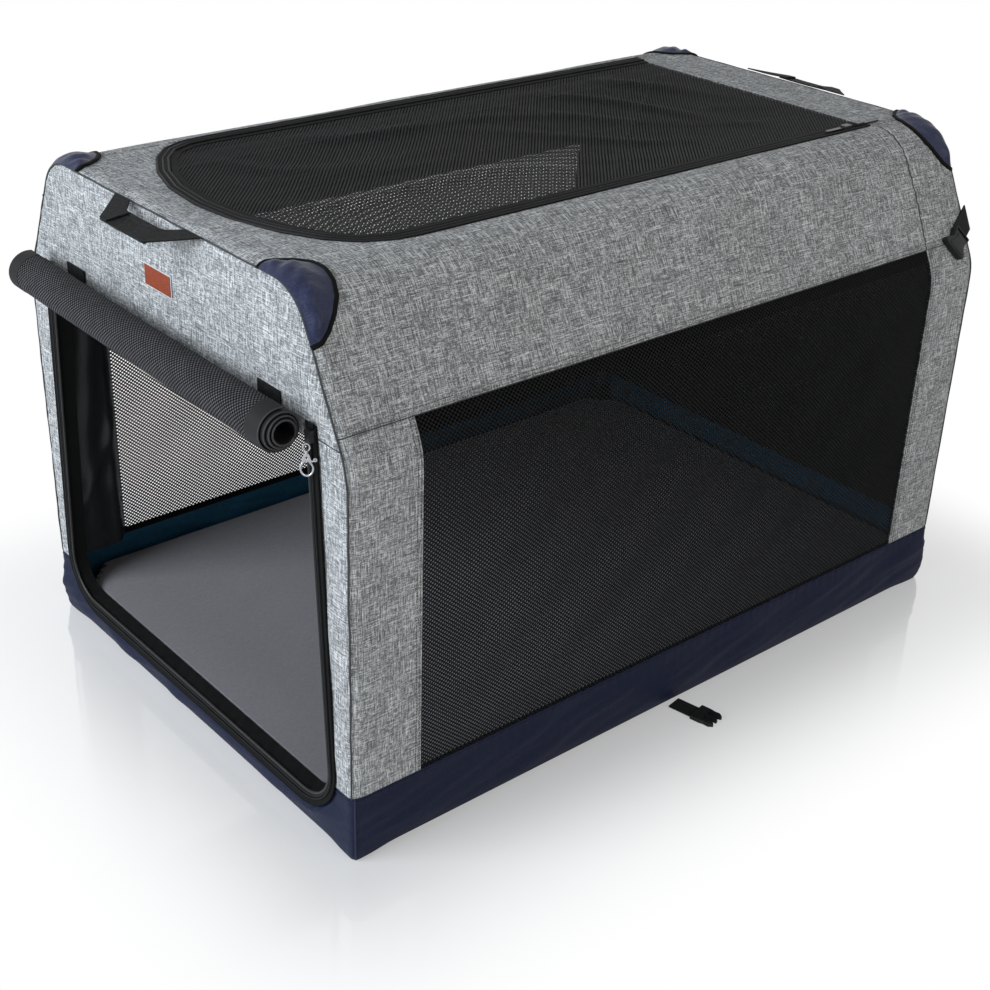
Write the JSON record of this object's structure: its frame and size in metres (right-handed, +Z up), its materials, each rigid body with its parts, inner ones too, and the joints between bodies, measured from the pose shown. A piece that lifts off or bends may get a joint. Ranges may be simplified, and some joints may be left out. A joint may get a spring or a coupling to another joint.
{
  "type": "folding dog crate",
  "caption": "Soft-sided folding dog crate: tube frame in a cloth box with mesh windows, a rolled-up front door, a zipped top door and carry handles.",
  "frame": {"origin": "middle of the crate's underside, on the floor that it stands on", "axes": "+Z up, -Y towards the rolled-up front door, +Y along the crate's length to the rear, +X to the side with the tie strap"},
  "size_m": [0.6721, 0.999, 0.5935],
  "materials": {
    "frame_paint": "black powder coat on tube",
    "bracket_plastic": "matte black moulding",
    "steel_pin": "bright steel",
    "grey_melange": "heather grey woven cloth",
    "navy_cloth": "navy woven cloth with a slight sheen",
    "black_mesh": "black net cloth",
    "black_webbing": "black webbing and tape",
    "zip_metal": "polished nickel",
    "mat_cloth": "smooth grey padded cloth"
  },
  "bodies": {
    "base": {"base_tube_front": "frame_paint", "base_tube_rear": "frame_paint", "base_tube_left": "frame_paint", "base_tube_right": "frame_paint", "base_corner_front_left": "bracket_plastic", "base_corner_front_right": "bracket_plastic", "base_corner_rear_left": "bracket_plastic", "base_corner_rear_right": "bracket_plastic", "base_cover": "navy_cloth", "floor_mat": "mat_cloth", "front_wall": "grey_melange", "rear_wall": "grey_melange", "side_upper_left": "grey_melange", "side_upper_right": "grey_melange", "side_column_left_front": "grey_melange", "side_column_left_rear": "grey_melange", "side_column_right_front": "grey_melange", "side_column_right_rear": "grey_melange", "side_window_left": "black_mesh", "side_window_right": "black_mesh", "corner_patch_front_left": "navy_cloth", "corner_patch_front_right": "navy_cloth", "corner_patch_rear_left": "navy_cloth", "corner_patch_rear_right": "navy_cloth", "door_zip_tape": "black_webbing"},
    "front_lower": {"lower_leg_front_left": "frame_paint", "lower_leg_front_right": "frame_paint", "knee_pin_front_left": "steel_pin", "knee_pin_front_right": "steel_pin"},
    "front_upper": {"upper_hoop_front": "frame_paint"},
    "rear_lower": {"lower_leg_rear_left": "frame_paint", "lower_leg_rear_right": "frame_paint", "knee_pin_rear_left": "steel_pin", "knee_pin_rear_right": "steel_pin"},
    "rear_upper": {"upper_hoop_rear": "frame_paint"},
    "top": {"top_rail_left": "frame_paint", "top_rail_right": "frame_paint", "rail_clamp_front_left": "bracket_plastic", "rail_clamp_front_right": "bracket_plastic", "rail_clamp_rear_left": "bracket_plastic", "rail_clamp_rear_right": "bracket_plastic", "top_panel": "grey_melange", "top_zip_tape": "black_webbing"},
    "top_door": {"top_door": "black_mesh"},
    "top_zip_slider_front": {"top_zip_slider_front": "zip_metal"},
    "top_zip_slider_rear": {"top_zip_slider_rear": "zip_metal"},
    "top_zip_pull_front": {"top_zip_pull_front": "zip_metal"},
    "top_zip_pull_rear": {"top_zip_pull_rear": "zip_metal"},
    "handle_front": {"handle_front": "black_webbing"},
    "handle_rear": {"handle_rear": "black_webbing"},
    "door_roll": {"door_roll": "black_mesh", "roll_strap_left": "black_webbing", "roll_strap_right": "black_webbing"},
    "door_zip_stop": {"door_zip_stop": "zip_metal"},
    "door_zip_slider": {"door_zip_slider": "zip_metal"},
    "door_zip_pull": {"door_zip_pull": "zip_metal"},
    "rear_strap": {"rear_strap": "black_webbing"},
    "female_buckle": {"female_buckle": "bracket_plastic"},
    "bottom_strap": {"bottom_strap": "black_webbing", "male_buckle": "bracket_plastic"}
  },
  "joints": [
    {"name": "fold", "type": "hinge", "parent": "base", "child": "front_lower", "pos_m": [0, -0.435, 0.06], "axis": [-1, 0, 0], "range_deg": [0, 90], "deforming": ["front_wall", "rear_wall", "side_upper_left", "side_upper_right", "side_column_left_front", "side_column_left_rear", "side_column_right_front", "side_column_right_rear", "side_window_left", "side_window_right", "corner_patch_front_left", "corner_patch_front_right", "corner_patch_rear_left", "corner_patch_rear_right", "door_zip_tape"]},
    {"name": "front_knee", "type": "hinge", "parent": "front_lower", "child": "front_upper", "pos_m": [0, -0.446, 0.31725], "axis": [-1, 0, 0], "range_deg": [-180, 0]},
    {"name": "top_level", "type": "hinge", "parent": "front_upper", "child": "top", "pos_m": [0, -0.435, 0.5745], "axis": [-1, 0, 0], "range_deg": [0, 90]},
    {"name": "rear_fold", "type": "hinge", "parent": "base", "child": "rear_lower", "pos_m": [0, 0.435, 0.06], "axis": [1, 0, 0], "range_deg": [0, 90]},
    {"name": "rear_knee", "type": "hinge", "parent": "rear_lower", "child": "rear_upper", "pos_m": [0, 0.446, 0.31725], "axis": [1, 0, 0], "range_deg": [-180, 0]},
    {"name": "roll_lowers", "type": "slide", "parent": "base", "child": "door_roll", "axis": [0, 0, -1], "range_m": [0, 0.43]},
    {"name": "zip_stop_lowers", "type": "slide", "parent": "base", "child": "door_zip_stop", "axis": [0, 0, -1], "range_m": [0, 0.38]},
    {"name": "rear_strap_swings_out", "type": "slide", "parent": "top", "child": "rear_strap", "axis": [0.3418, 0, 0.9398], "range_m": [0, 0.088]},
    {"name": "buckle_lift", "type": "hinge", "parent": "rear_strap", "child": "female_buckle", "pos_m": [0.28822, 0.43596, 0.4725], "axis": [-0.3605, -0.5707, 0.7378], "range_deg": [0, 90]},
    {"name": "bottom_strap_lift", "type": "hinge", "parent": "base", "child": "bottom_strap", "pos_m": [0.3072, -0.006, 0.0024], "axis": [0.1908, -0.9816, 0], "range_deg": [0, 80]},
    {"name": "top_door_hinge", "type": "hinge", "parent": "top", "child": "top_door", "pos_m": [0, 0.3645, 0.5882], "axis": [-1, 0, 0], "range_deg": [0, 110]},
    {"name": "top_zip_front", "type": "slide", "parent": "top", "child": "top_zip_slider_front", "axis": [0, -1, 0], "range_m": [0, 0.6]},
    {"name": "top_zip_rear", "type": "slide", "parent": "top", "child": "top_zip_slider_rear", "axis": [0, -1, 0], "range_m": [0, 0.009]},
    {"name": "top_pull_front", "type": "hinge", "parent": "top_zip_slider_front", "child": "top_zip_pull_front", "pos_m": [0.1858, 0.3228, 0.5911], "axis": [-1, 0, 0], "range_deg": [0, 90]},
    {"name": "top_pull_rear", "type": "hinge", "parent": "top_zip_slider_rear", "child": "top_zip_pull_rear", "pos_m": [0.1858, 0.3592, 0.5911], "axis": [1, 0, 0], "range_deg": [0, 90]},
    {"name": "front_handle_swing", "type": "hinge", "parent": "top", "child": "handle_front", "pos_m": [0, -0.4563, 0.584], "axis": [-1, 0, 0], "range_deg": [-80, 90]},
    {"name": "rear_handle_swing", "type": "hinge", "parent": "top", "child": "handle_rear", "pos_m": [0, 0.4563, 0.584], "axis": [1, 0, 0], "range_deg": [-80, 90]},
    {"name": "door_zip", "type": "slide", "parent": "door_zip_stop", "child": "door_zip_slider", "axis": [0.0506, 0, -0.9987], "range_m": [0, 0.33]},
    {"name": "door_clip_swing", "type": "hinge", "parent": "door_zip_slider", "child": "door_zip_pull", "pos_m": [0.255, -0.4642, 0.45], "axis": [-1, 0, 0], "range_deg": [0, 110]}
  ],
  "couplings": [
    {"joint": "front_knee", "follows": "fold", "ratio": -2},
    {"joint": "top_level", "follows": "fold", "ratio": 1},
    {"joint": "rear_fold", "follows": "fold", "ratio": 1},
    {"joint": "rear_knee", "follows": "fold", "ratio": -2},
    {"joint": "roll_lowers", "follows": "fold", "m_per_rad": 0.27247},
    {"joint": "zip_stop_lowers", "follows": "fold", "m_per_rad": 0.24032},
    {"joint": "rear_strap_swings_out", "follows": "fold", "m_per_rad": 0.0559}
  ]
}
